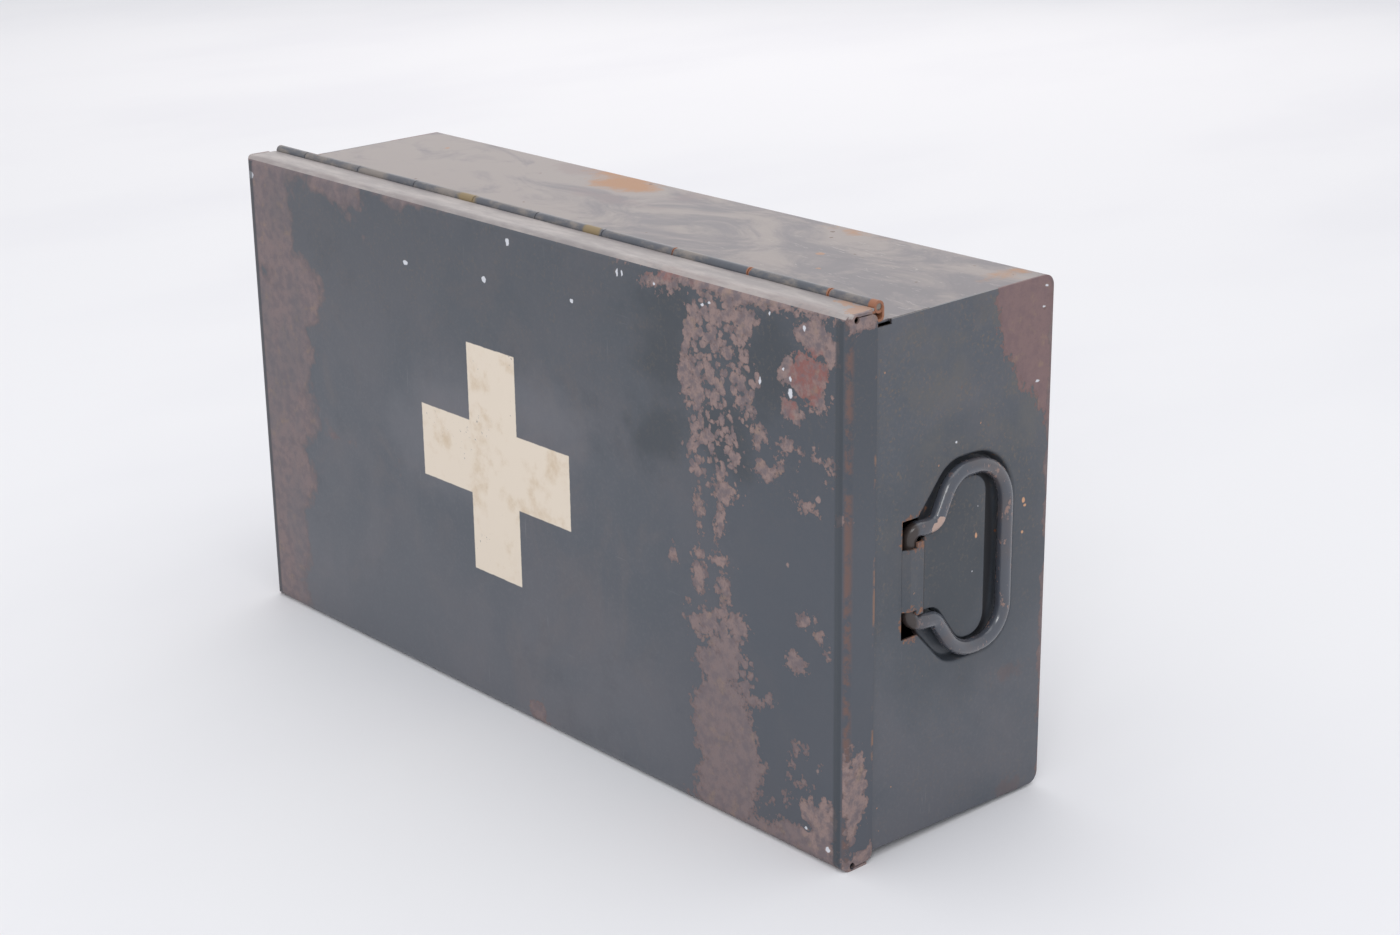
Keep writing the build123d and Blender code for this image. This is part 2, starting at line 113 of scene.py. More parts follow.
# Ellipses on the lid's front, as middle across and up, then half sizes, in millimetres
LEFT_FILM = [
    (-190, 205, 25, 34), (-172, 170, 27, 22), (-195, 138, 38, 38), (-186, 105, 33, 20),
    (-193, 72, 33, 26), (-198, 40, 30, 40), (-192, 6, 27, 16), (-188, 229, 32, 9),
    (-128, 227, 27, 10), (-82, 229, 30, 4.5), (-118, 213, 3, 3), (-145, 156, 3, 2.5),
    (-143, 100, 8, 1.6), (-89, 99, 2.6, 9), (-101, 203, 5, 3),
]
SOLID_RUST = [
    (148, 230, 56, 6.5), (151, 217, 10, 6), (190, 219, 10, 8), (199, 214, 4, 6),
    (187, 203, 11, 11), (174, 203, 6, 6), (177, 187, 6, 6), (191, 194, 8, 5),
    (140, 203, 8, 4), (117, 192, 5, 17), (123, 184, 6, 8), (121, 208, 5, 6),
    (150, 186, 8, 4.5), (163, 160, 7, 4.5), (171, 163, 5, 2.2), (159, 174, 5, 4),
    (158, 168, 3, 3), (175, 172, 4, 3.2), (182, 171, 4, 1.6), (190, 171, 3.5, 1.8),
    (183, 167.5, 2.5, 1.2), (199, 167, 3.2, 4.5), (179, 154.5, 2, 1.2), (186, 150.5, 5.5, 2),
    (202.5, 149.5, 1.8, 2.2), (123.5, 133, 3.8, 9), (140, 144, 7, 5), (136, 131, 3.5, 9),
    (123.5, 104, 4, 13), (137, 114.5, 7, 3), (138, 103, 4, 7), (118, 91, 4, 1.8),
    (129, 86, 6, 6), (148, 89, 4.5, 4.5), (136, 92, 5, 4), (140, 76, 9, 8),
    (133, 66, 12, 9), (137, 40, 19, 25), (138, 13, 19, 16), (151, 30, 9, 20),
    (155, 60, 9, 3), (163, 62, 4, 2), (180, 83.5, 5.5, 4.5), (185, 102, 3.5, 3),
    (193, 98, 3, 2.2), (191, 105, 1, 1), (198, 93, 1, 1), (180, 46, 3.2, 2.8),
    (186, 46.5, 1.2, 1.2), (182, 32, 5, 2), (178.5, 38, 1.3, 1.3), (196, 43, 1.6, 1.3),
    (174.5, 21, 1.6, 2.4), (178, 24, 1.4, 1.6), (158, 18, 1.8, 3), (166, 18, 1.8, 1.8),
    (161, 31, 2.5, 1.5), (196, 17, 8, 12), (188, 21, 6, 6), (180, 7, 14, 6),
    (190, 6, 16, 8), (165, 1, 42, 6), (108, 110, 2.6, 3), (98, 224, 8, 4),
    (106, 226, 9, 5), (12, 5, 6, 6),
]
BROKEN_RUST = [
    (137, 200, 23, 27), (125, 164, 8, 16), (139, 163, 9, 9), (134, 84, 15, 9),
    (147, 69, 8, 10), (139, 147, 8, 7),
]
RED_RUST = [(187, 203, 13, 13), (177, 190, 5, 9), (108, 228, 16, 3), (-80, 229, 16, 3)]
PALE_CORNER = [(196, 18, 20, 18)]
UNRUSTED = [
    (164, 207, 9, 14), (171, 214, 6, 8), (110, 207, 6, 13), (141, 190, 3, 3), (133, 176, 4, 3),
]
DEEP_PAINT = [(104, 199, 16, 27), (163, 203, 14, 20), (100, 160, 18, 14), (140, 168, 16, 16)]
MIDDLE_REFLECTION = [(-48, 122, 52, 34), (20, 150, 40, 22)]
WHITE_SPECKS = [
    (177, 200, 0.9, 1.2), (177, 194, 1.3, 2.4), (184.5, 221.5, 0.8, 1.4),
    (165.5, 223.5, 0.6, 1.1), (98, 222.5, 0.8, 0.8), (160, 195.5, 0.8, 1.8),
    (173, 203, 0.7, 0.7), (127, 219.5, 1.2, 0.9), (131, 221, 1.0, 0.7), (186, 13, 0.9, 0.9),
    (198.5, 8, 1.4, 1.5), (-75, 200, 2.0, 1.3), (45, 205, 1.4, 1.1), (75, 223, 0.9, 2.0),
    (78, 223, 0.7, 1.8), (2, 223, 1.4, 1.8), (-16, 203, 1.8, 1.5), (-203, 221, 3.0, 2.0),
]

# The cross on the lid's front
CROSS_MIDDLE = (-14.0, 118.0, 0.0)
CROSS_HALF_ARM = 54.0
CROSS_HALF_WIDTH = 17.5
CROSS_EDGE = 0.5

# Ellipses seen from above, with the middle as across and back: on the lid's top flange
# and on the case's top
FLANGE_STAINS = [(203, -48, 6, 7), (193, -45, 7, 2.0)]
TOP_BROWN = [(-82, 50, 18, 12), (0, 48, 9, 14), (-30, 20, 26, 7)]
TOP_STAINS = [(-42, 45, 22, 15), (-60, 54, 18, 7), (106, 50, 10, 2.5), (194, 47, 6, 12)]

# Ellipses seen from the end, with the middle as back and up: on the lid's side flanges,
# on the end panels and on the handles
FLANGE_RUST = [(-49, 227, 9, 5), (-53, 34, 7, 20), (-50, 3, 11, 5)]
END_MIDDLE = [(8, 118, 60, 62)]
ISLAND = [(5, 116, 22, 38)]
FAR_GROOVE = [(24, 116, 8, 46)]
CORNER_RUST = [
    (42, 222, 17, 17), (46, 206, 19, 16), (54, 196, 18, 20), (60, 178, 9, 18), (60, 168, 5, 10),
]
LOW_FILM = [(40, 4, 8, 6), (38, 59, 10, 4)]
SLOT_RUST = [
    (-21.6, 135.0, 5.8, 7.0), (-21.6, 97.0, 5.8, 7.0), (-17, 129.5, 3.0, 1.6),
    (-17, 102.5, 3.0, 1.4), (-15, 141.5, 3.0, 0.8),
]
FLAKES = [(45.3, 133, 1.2, 1.6), (46, 130, 1.0, 0.9), (44.6, 119, 0.9, 0.9), (17, 124, 0.9, 1.3)]
NICKS = [
    (51, 182, 1.5, 0.7), (53.5, 212.5, 1.2, 0.6), (55, 221, 1.3, 0.6), (3.5, 167, 0.7, 0.6),
    (18, 136.5, 0.45, 0.4), (15.5, 109, 0.45, 0.4),
]
HANDLE_CHIP = [(-9.6, 135.6, 3.6, 2.4), (-7.6, 137.2, 2.8, 2.4)]

# Bands around the hinge, as ellipses with the middle along it and no height
OCHRE_BANDS = [(-49, 0, 7.5, 8), (38, 0, 7, 7)]
ORANGE_BANDS = [(135, 0, 1.2, 1.2), (180, 0, 1.2, 1.2), (90, 0, 0.7, 0.7), (205, 0, 4, 4)]


class Finish:
    """One procedural material, built up in layers of colour, roughness and height.

    Lengths are in millimetres. Each noise has a seed that moves it, so that no two line up.
    """

    def __init__(self, name, colour, rough=None):
        self.material = bpy.data.materials.new(name)
        self.material.use_nodes = True
        self.tree = self.material.node_tree
        self.tree.nodes.clear()
        place = self.tree.nodes.new("ShaderNodeTexCoord").outputs["Object"]
        self.place = self.vector("SCALE", place, Scale=1000.0)
        self.x, self.y, self.z = self.split(self.place)
        self.colour = colour
        self.rough = rough
        self.height = 0.0

    def plug(self, socket, value):
        """Give a socket a number, a colour or another node's output."""
        if isinstance(value, bpy.types.NodeSocket):
            self.tree.links.new(value, socket)
        else:
            socket.default_value = value

    def node(self, kind, **settings):
        made = self.tree.nodes.new(kind)
        for name, value in settings.items():
            setattr(made, name, value)
        return made

    def math(self, operation, *values, clamp=False):
        made = self.node("ShaderNodeMath", operation=operation, use_clamp=clamp)
        for socket, value in zip(made.inputs, values):
            self.plug(socket, value)
        return made.outputs[0]

    def times(self, product, *others):
        """The product of some numbers."""
        for other in others:
            product = self.math("MULTIPLY", product, other)
        return product

    def past(self, value, reach, middle=None):
        """How far a value lies beyond a reach to either side of 0 or of another middle."""
        if middle is not None:
            value = self.math("SUBTRACT", value, middle)
        return self.math("SUBTRACT", self.math("ABSOLUTE", value), reach)

    def vector(self, operation, *values, **named):
        made = self.node("ShaderNodeVectorMath", operation=operation)
        for socket, value in zip(made.inputs, values):
            self.plug(socket, value)
        for name, value in named.items():
            self.plug(made.inputs[name], value)
        return made.outputs["Value" if operation == "LENGTH" else "Vector"]

    def split(self, value):
        made = self.node("ShaderNodeSeparateXYZ")
        self.plug(made.inputs[0], value)
        return made.outputs

    def join(self, x, y, z=0.0):
        made = self.node("ShaderNodeCombineXYZ")
        for socket, value in zip(made.inputs, (x, y, z)):
            self.plug(socket, value)
        return made.outputs[0]

    def ease(self, value, low, high):
        """0 at low, 1 at high and smooth between them; high may be under low."""
        made = self.node("ShaderNodeMapRange", interpolation_type="SMOOTHSTEP")
        self.plug(made.inputs["Value"], value)
        self.plug(made.inputs["From Min"], low)
        self.plug(made.inputs["From Max"], high)
        return made.outputs["Result"]

    def spread(self, value, low, high):
        """A 0-1 value spread evenly from low to high."""
        made = self.node("ShaderNodeMapRange", clamp=True)
        self.plug(made.inputs["Value"], value)
        self.plug(made.inputs["To Min"], low)
        self.plug(made.inputs["To Max"], high)
        return made.outputs["Result"]

    def mix(self, share, first, second):
        """Mix two colours."""
        made = self.node("ShaderNodeMix", data_type="RGBA")
        self.plug(made.inputs[0], share)
        self.plug(made.inputs[6], first)
        self.plug(made.inputs[7], second)
        return made.outputs[2]

    def blend(self, share, first, second):
        """Mix two numbers."""
        made = self.node("ShaderNodeMix", data_type="FLOAT")
        self.plug(made.inputs[0], share)
        self.plug(made.inputs[2], first)
        self.plug(made.inputs[3], second)
        return made.outputs[0]

    def noise(self, length, detail=3.0, rough=0.55, distort=0.0, seed=0.0, stretch=None,
              place=None):
        """Noise whose largest features are about length millimetres."""
        place = place or self.place
        if stretch:
            place = self.vector("MULTIPLY", place, stretch)
        place = self.vector("ADD", place, (seed * 517.3, seed * 211.9, seed * 83.1))
        made = self.node("ShaderNodeTexNoise")
        self.plug(made.inputs["Vector"], place)
        made.inputs["Scale"].default_value = 1.0 / length
        made.inputs["Detail"].default_value = detail
        made.inputs["Roughness"].default_value = rough
        made.inputs["Distortion"].default_value = distort
        return made.outputs["Fac"]

    def warp(self, place, length, reach, seed):
        """A place moved about by up to reach millimetres, so that edges come out ragged."""
        made = self.node("ShaderNodeTexNoise")
        moved = self.vector("ADD", place, (seed * 97.0, seed * 31.0, 0.0))
        self.plug(made.inputs["Vector"], moved)
        made.inputs["Scale"].default_value = 1.0 / length
        made.inputs["Detail"].default_value = 3.0
        shift = self.vector("SUBTRACT", made.outputs["Color"], (0.5, 0.5, 0.5))
        return self.vector("ADD", place, self.vector("SCALE", shift, Scale=2.0 * reach))

    def cells(self, place, pitch, step):
        """A pattern of cells, one in each pitch, moved on by a step."""
        made = self.node("ShaderNodeTexVoronoi")
        self.plug(made.inputs["Vector"], self.vector("ADD", place, step))
        made.inputs["Scale"].default_value = 1.0 / pitch
        return made.outputs

    def dots(self, pitch, size, share, seed):
        """Ragged specks: one in a share of the cells, up to size millimetres in radius."""
        place = self.warp(self.place, size, 0.5 * size, seed)
        cell = self.cells(place, pitch, (seed * 71.7, seed * 13.3, seed * 41.1))
        draw, other, _ = self.split(cell["Color"])
        there = self.math("LESS_THAN", other, share)
        radius = self.times(self.math("POWER", draw, 2.0), size / pitch)
        near = self.ease(cell["Distance"], radius, self.times(radius, 0.7))
        return self.times(near, there)

    def blisters(self, pitch, seed):
        """Round spots that touch, one in each cell: 1 in their middles, about 0 between."""
        place = self.warp(self.place, pitch, 0.3 * pitch, seed)
        cell = self.cells(place, pitch, (seed * 7.1, seed * 3.7, seed * 5.3))
        return self.math("SUBTRACT", 1.0, cell["Distance"])

    def inside(self, place, spots):
        """How deep a place is inside the nearest of some ellipses; less than 0 outside."""
        deepest = None
        for across, up, half_across, half_up in spots:
            scale = (1 / half_across, 1 / half_up, 0.0)
            middle = (-across / half_across, -up / half_up, 0.0)
            away = self.vector("LENGTH", self.vector("MULTIPLY_ADD", place, scale, middle))
            reach = min(half_across, half_up)
            depth = self.math("MULTIPLY_ADD", away, -reach, reach)
            deepest = depth if deepest is None else self.math("MAXIMUM", deepest, depth)
        return deepest

    def rough_edge(self, depth, amounts, seed):
        """A depth made ragged by noises, given as pairs of length and reach."""
        for turn, (length, reach) in enumerate(amounts):
            wave = self.noise(length, detail=4, rough=0.6, seed=seed + 3 * turn)
            depth = self.math("ADD", depth, self.math("MULTIPLY_ADD", wave, 2 * reach, -reach))
        return depth

    def lay(self, mask, colour, rough=None, share=None, height=0.0):
        """Lay another layer over what is there, or only a share of it."""
        if share is not None:
            mask = self.times(mask, share)
        self.colour = self.mix(mask, self.colour, colour)
        if rough is not None:
            self.rough = self.blend(mask, self.rough, rough)
        if height:
            self.raise_by(self.times(mask, height))

    def raise_by(self, amount):
        self.height = self.math("ADD", self.height, amount)

    def close(self, metallic=0.0, specular=0.5, coat=0.0, coat_rough=0.2):
        """Join the layers to the shader and give the finished material."""
        shader = self.node("ShaderNodeBsdfPrincipled")
        self.plug(shader.inputs["Base Color"], self.colour)
        self.plug(shader.inputs["Roughness"], self.rough)
        self.plug(shader.inputs["Metallic"], metallic)
        shader.inputs["Specular IOR Level"].default_value = specular
        shader.inputs["Coat Weight"].default_value = coat
        shader.inputs["Coat Roughness"].default_value = coat_rough
        bump = self.node("ShaderNodeBump")
        bump.inputs["Distance"].default_value = 0.001
        self.plug(bump.inputs["Height"], self.height)
        self.plug(shader.inputs["Normal"], bump.outputs["Normal"])
        output = self.node("ShaderNodeOutputMaterial")
        self.plug(output.inputs["Surface"], shader.outputs[0])
        return self.material


# What the painted pieces share
def enamel(name, warm=0.5):
    """The old dark enamel: cloudy colour, rubbed gloss, and sheet that isn't quite flat."""
    skin = Finish(name, PAINT_BLUE)
    cloud = skin.noise(70, detail=5, rough=0.62, distort=0.6)
    skin.lay(skin.ease(cloud, 0.40, 0.62), PAINT_GREY)
    stain = skin.noise(46, detail=5, rough=0.68, distort=1.2, seed=3)
    skin.lay(skin.ease(stain, 0.48, 0.72), PAINT_WARM, share=warm)
    deep = skin.noise(30, detail=5, rough=0.62, seed=7)
    skin.lay(skin.ease(deep, 0.54, 0.76), PAINT_DEEP_AND_SHADE, share=0.4)
    grain = skin.noise(1.3, detail=2, seed=11)
    skin.lay(skin.ease(grain, 0.45, 0.8), PAINT_PALE_AND_REFLECTION, share=0.18)
    rubbed = skin.noise(22, detail=5, rough=0.65, seed=5)
    skin.rough = skin.spread(rubbed, 0.30, 0.48)
    skin.raise_by(skin.times(skin.noise(95, detail=1, seed=2), 0.5))
    skin.raise_by(skin.times(skin.noise(1.6, detail=2, seed=4), 0.010))
    return skin


def scratches(skin, seed):
    """Fine pale scuffs in two directions."""
    for turn, stretch in enumerate(((0.06, 1.0, 1.0), (1.0, 1.0, 0.06))):
        lines = skin.noise(1.1, detail=2, seed=seed + turn, stretch=stretch)
        where = skin.ease(skin.noise(45, detail=3, seed=seed + 5 + turn), 0.5, 0.7)
        scuffs = skin.times(skin.ease(lines, 0.66, 0.76), where)
        skin.lay(scuffs, SCUFF_GREY, DULL, share=0.3)


def stipple(skin, seed, where, share):
    """A grain of tiny brown specks in the enamel."""
    grain = skin.noise(1.5, detail=4, rough=0.65, seed=seed)
    patch = skin.ease(skin.noise(13, detail=3, rough=0.6, seed=seed + 2), 0.3, 0.7)
    specks = skin.times(skin.ease(grain, 0.52, 0.66), skin.times(patch, share))
    skin.lay(specks, STIPPLE_BROWN, WORN, share=where)


def rust(skin, depth, seed, soft=0.5, pale=0.5, red=None, share=1.0, where=1.0):
    """Rust where depth is over 0: mottled, matt, a little raised and browner at its edges."""
    mask = skin.times(skin.ease(depth, 0.0, soft), share, where)
    mottle = skin.noise(4.5, detail=5, rough=0.65, seed=20 + seed)
    fine = skin.noise(0.9, detail=3, rough=0.6, seed=23 + seed)
    colour = skin.mix(skin.times(skin.ease(mottle, 0.36, 0.6), pale), RUST_MAUVE, RUST_PINK)
    if red is not None:
        colour = skin.mix(red, colour, RUST_RED)
    sand = skin.ease(skin.noise(7, detail=4, rough=0.65, seed=26 + seed), 0.55, 0.72)
    colour = skin.mix(skin.times(sand, 0.4), colour, RUST_SAND)
    rim = skin.ease(depth, 1.8 + soft, 0.2)
    colour = skin.mix(skin.times(rim, 0.5), colour, RUST_BROWN)
    colour = skin.mix(skin.times(skin.ease(fine, 0.52, 0.72), 0.35), colour, RUST_BROWN)
    skin.lay(mask, colour, RUSTY, height=0.03)
    skin.raise_by(skin.times(fine, mask, 0.05))


def freckles(skin, seed, where, share, size=1.3, pitch=7.0, colour=RUST_TAN):
    """Small rust spots where the enamel has blistered."""
    spots = skin.dots(pitch, size, share, seed)
    skin.lay(spots, colour, MATT, share=where, height=0.03)


# The lid
def lid_paint():
    skin = enamel("lid_enamel", warm=0.6)
    scratches(skin, 31)
    flat = skin.join(skin.x, skin.z)
    ragged = skin.warp(flat, 12.0, 1.6, seed=1)

    # The sheet's outer side, by the distance from inside the bends, and the front face
    half_height = LID_TOP / 2
    past_bends = skin.join(
        skin.past(skin.x, LID_HALF - LID_BEND),
        skin.past(skin.z, half_height - LID_BEND, half_height),
        skin.math("SUBTRACT", LID_FRONT + LID_BEND, skin.y),
    )
    reach = skin.vector("LENGTH", skin.vector("MAXIMUM", past_bends, (0.0, 0.0, 0.0)))
    outer = skin.ease(reach, LID_BEND - 0.7, LID_BEND - 0.3)
    front = skin.times(skin.ease(skin.y, LID_FRONT + 9.0, LID_FRONT + 2.5), outer)
    face = skin.math("LESS_THAN", skin.y, LID_FRONT + 0.5)

    # A few patches of rust inside the lid
    patches = skin.rough_edge(-3.5, [(34, 13), (2.5, 5)], seed=39)
    rust(skin, patches, seed=4, pale=0.6, share=0.7, where=skin.math("SUBTRACT", 1.0, outer))

    right = skin.ease(skin.x, 60.0, 180.0)
    lid_shades(skin, flat, ragged, right)
    lid_film(skin, ragged, front)
    lid_rust(skin, flat, ragged, front)
    freckles(skin, 51, where=skin.spread(right, 0.2, 0.8), share=0.3, pitch=9.0,
             colour=RUST_BROWN)
    freckles(skin, 53, where=right, share=0.2, size=2.6, pitch=17.0, colour=RUST_PINK)
    lid_cross(skin, flat, face)

    # Specks of white paint
    white = skin.inside(skin.warp(flat, 1.6, 0.8, seed=3), WHITE_SPECKS)
    white = skin.times(skin.ease(white, 0.0, 0.35), face)
    skin.lay(white, SPECK_WHITE, DULL, height=0.05)

    lid_bends(skin, face)
    lid_flanges(skin)
    return skin.close()


def lid_shades(skin, flat, ragged, right):
    """Clean and dark to the right, grainy at the top, a pale painted reflection by the middle,
    pale at the foot.
    """
    skin.lay(right, PAINT_CLEAN, share=0.75)
    deep = skin.rough_edge(skin.inside(ragged, DEEP_PAINT), [(24, 18)], seed=33)
    skin.lay(skin.ease(deep, -6.0, 8.0), PAINT_DEEP_AND_SHADE, share=0.8)
    skin.lay(skin.ease(skin.z, 120.0, 215.0), PAINT_DEEP_AND_SHADE, share=0.35)
    stipple(skin, 37, where=skin.ease(skin.z, 90.0, 220.0), share=0.3)
    # A pale, duller patch by the middle: a painted reflection
    reflection = skin.rough_edge(skin.inside(flat, MIDDLE_REFLECTION), [(26, 22)], seed=38)
    skin.lay(skin.ease(reflection, -8.0, 20.0), PAINT_PALE_AND_REFLECTION, DULL, share=0.4)
    foot = skin.math("SUBTRACT", skin.ease(skin.z, 95.0, 15.0), right, clamp=True)
    skin.lay(foot, PAINT_PALE_AND_REFLECTION, share=0.24)


def lid_film(skin, ragged, front):
    """A brown film down the left side and in the upper left corner."""
    film = skin.rough_edge(skin.inside(ragged, LEFT_FILM), [(18, 12), (5, 6)], seed=35)
    thick = skin.noise(20, detail=5, rough=0.6, seed=36, stretch=(1.0, 1.0, 0.45))
    thick = skin.times(skin.spread(skin.ease(thick, 0.34, 0.58), 0.62, 1.0), front)
    rust(skin, film, seed=1, soft=5.0, pale=0.45, where=thick)


def lid_rust(skin, flat, ragged, front):
    """Rust down the right side, solid in places and broken up into blisters in others."""
    bare = skin.inside(ragged, UNRUSTED)
    broken = skin.math("MINIMUM", skin.inside(ragged, BROKEN_RUST), 1.2)
    broken = skin.math("SUBTRACT", broken, skin.math("MAXIMUM", bare, 0.0))
    spots = skin.math("MULTIPLY_ADD", skin.blisters(3.2, seed=42), 11.0, -5.4)
    broken = skin.math("ADD", skin.rough_edge(broken, [(9, 8), (1.2, 4)], seed=41), spots)
    solid = skin.rough_edge(skin.inside(ragged, SOLID_RUST), [(7, 5), (1.6, 5)], seed=47)
    solid = skin.math("MULTIPLY_ADD", spots, 0.4, solid)
    depth = skin.math("MAXIMUM", broken, solid)
    depth = skin.math("SUBTRACT", depth, skin.times(skin.math("MAXIMUM", bare, 0.0), 1.5))

    red = skin.rough_edge(skin.inside(ragged, RED_RUST), [(7, 8)], seed=53)
    mottle = skin.noise(3.5, detail=4, rough=0.65, seed=55)
    mottle = skin.spread(skin.ease(mottle, 0.38, 0.6), 0.3, 1.0)
    red = skin.times(skin.ease(red, 0.0, 5.0), mottle)

    pale = skin.spread(skin.ease(skin.z, 60.0, 120.0), 0.4, 1.0)
    corner = skin.ease(skin.inside(flat, PALE_CORNER), 0.0, 6.0)
    pale = skin.math("MAXIMUM", pale, corner)
    rust(skin, depth, seed=2, pale=pale, red=red, where=front)


def lid_cross(skin, flat, face):
    """A plain cross in faded cream paint, chipped and stained."""
    away = skin.vector("ABSOLUTE", skin.vector("SUBTRACT", flat, CROSS_MIDDLE))
    across, up, _ = skin.split(skin.warp(away, 2.5, 0.25, seed=9))
    longer = skin.math("MAXIMUM", across, up)
    shorter = skin.math("MINIMUM", across, up)
    cross = skin.times(
        skin.ease(longer, CROSS_HALF_ARM, CROSS_HALF_ARM - CROSS_EDGE),
        skin.ease(shorter, CROSS_HALF_WIDTH, CROSS_HALF_WIDTH - CROSS_EDGE),
        face,
    )
    wear = skin.times(skin.noise(24, detail=3, seed=63), 0.45)
    wear = skin.math("ADD", skin.noise(2.2, detail=5, rough=0.7, seed=61), wear)
    cross = skin.times(cross, skin.ease(wear, 0.99, 0.90))
    stained = skin.ease(skin.noise(14, detail=5, rough=0.65, seed=65), 0.5, 0.75)
    cream = skin.mix(skin.times(stained, 0.6), CREAM, CREAM_STAIN)
    skin.lay(cross, cream, DULL, height=0.02)


def lid_bends(skin, face):
    """Brown wear on the side bends, and a dark line of painted shade on the face beside each."""
    side = skin.ease(skin.math("ABSOLUTE", skin.x), LID_HALF - 2.2, LID_HALF - 0.8)
    wear = skin.ease(skin.noise(9, detail=5, rough=0.7, seed=71), 0.40, 0.55)
    near = skin.ease(skin.y, LID_FRONT + 5.0, LID_FRONT + 2.0)
    skin.lay(skin.times(side, near, wear), RUST_BROWN, WORN)
    # A dark line of painted shade on the face, just inside each side bend
    line = skin.math("ABSOLUTE", skin.past(skin.x, LID_HALF - 3.8))
    skin.lay(skin.times(skin.ease(line, 2.6, 1.2), face), PAINT_DEEP_AND_SHADE, share=0.8)


def lid_flanges(skin):
    """Dust with painted sheen and stains on the top flange, and rust on the side flanges and
    their rear edges.
    """
    top = skin.math("GREATER_THAN", skin.z, LID_TOP - 1.5)
    # The whole top flange lighter: dust and painted sheen
    skin.lay(top, DUST_AND_SHEEN_GREY, DULL, share=0.75)
    smear = skin.noise(16, detail=5, rough=0.7, seed=73, stretch=(0.4, 1.6, 1.0))
    skin.lay(skin.times(skin.ease(smear, 0.40, 0.66), top), DUST_PALE, DULL, share=0.6)
    stains = skin.inside(skin.join(skin.x, skin.y), FLANGE_STAINS)
    stains = skin.rough_edge(stains, [(4, 7), (1.5, 3)], seed=75)
    skin.lay(skin.times(skin.ease(stains, 0.0, 1.0), top), RUST_TAN, MATT, share=0.7)

    flange = skin.math("GREATER_THAN", skin.math("ABSOLUTE", skin.x), LID_HALF - 1.5)
    beside = skin.inside(skin.join(skin.y, skin.z), FLANGE_RUST)
    beside = skin.rough_edge(beside, [(6, 8), (2.2, 4)], seed=77)
    rust(skin, beside, seed=3, pale=1.0, where=flange)
    hem = skin.times(skin.ease(skin.y, LID_REAR - 1.6, LID_REAR - 0.4), 0.75)
    patchy = skin.ease(skin.noise(12, detail=5, rough=0.7, seed=79), 0.50, 0.62)
    skin.lay(skin.times(hem, patchy, flange), RUST_HEM, MATT)


# The case
def case_paint():
    skin = enamel("case_enamel")
    scratches(skin, 81)
    wall = skin.math("MULTIPLY_ADD", skin.y, TOP_RISE, TOP_HEIGHT)
    top = skin.ease(skin.math("SUBTRACT", skin.z, wall), -0.8, -0.3)
    case_top(skin, top)

    # Rust along the back's edges
    beside = skin.past(skin.x, END_FACE)
    above = skin.past(skin.z, BACK_HALF_HEIGHT, BACK_MIDDLE)
    border = skin.math("MAXIMUM", beside, above)
    border = skin.math("MINIMUM", border, skin.math("SUBTRACT", skin.y, CASE_BACK))
    border = skin.rough_edge(skin.math("ADD", border, 1.0), [(13, 9), (3, 4)], seed=89)
    rust(skin, border, seed=5, soft=1.0, pale=0.7, share=0.85)

    # Sparse patches on the other walls and inside, and freckles all over
    patches = skin.rough_edge(-4.0, [(42, 14), (3, 5)], seed=90)
    below = skin.math("SUBTRACT", 1.0, top)
    rust(skin, patches, seed=6, soft=1.0, pale=0.6, share=0.8, where=below)
    freckles(skin, 93, where=0.8, share=0.3, colour=RUST_BROWN)
    freckles(skin, 95, where=0.8, share=0.15, size=3.0, pitch=18.0)
    return skin.close()


def case_top(skin, top):
    """Grime with painted sheen, streaks of dust, pale swipes, a brown smear and orange stains on
    the top.
    """
    plan = skin.join(skin.x, skin.y)
    # The whole top lighter: grime and painted sheen
    skin.lay(top, GRIME_AND_SHEEN, SATIN, share=0.7)
    sweep = skin.vector("ADD", plan, (0.0, 400.0, 0.0))
    sweep = skin.vector("MULTIPLY", sweep, (0.62, 1.0, 1.0))
    streak = skin.noise(34, detail=5, rough=0.62, distort=1.2, seed=83, place=sweep)
    dusty = skin.math("MULTIPLY_ADD", skin.ease(skin.x, 40.0, -120.0), 0.16, streak)
    dusty = skin.times(skin.ease(dusty, 0.40, 0.66), top)
    skin.lay(dusty, DUST_WARM, DULL, share=0.75)
    swipes = skin.noise(5, detail=4, rough=0.6, distort=2.0, seed=85, stretch=(0.35, 1.5, 1.0))
    swipes = skin.times(skin.ease(swipes, 0.60, 0.72), skin.ease(skin.x, 30.0, 120.0), top)
    skin.lay(swipes, SWIPE_PALE, DULL, share=0.5)
    moved = skin.warp(plan, 18.0, 4.0, seed=2)
    brown = skin.rough_edge(skin.inside(moved, TOP_BROWN), [(12, 12)], seed=86)
    skin.lay(skin.times(skin.ease(brown, -3.0, 6.0), top), STAIN_BROWN, DULL, share=0.45)
    stains = skin.rough_edge(skin.inside(moved, TOP_STAINS), [(10, 10), (3, 4)], seed=87)
    skin.lay(skin.times(skin.ease(stains, -2.0, 8.0), top), STAIN_ORANGE, MATT, share=0.85)


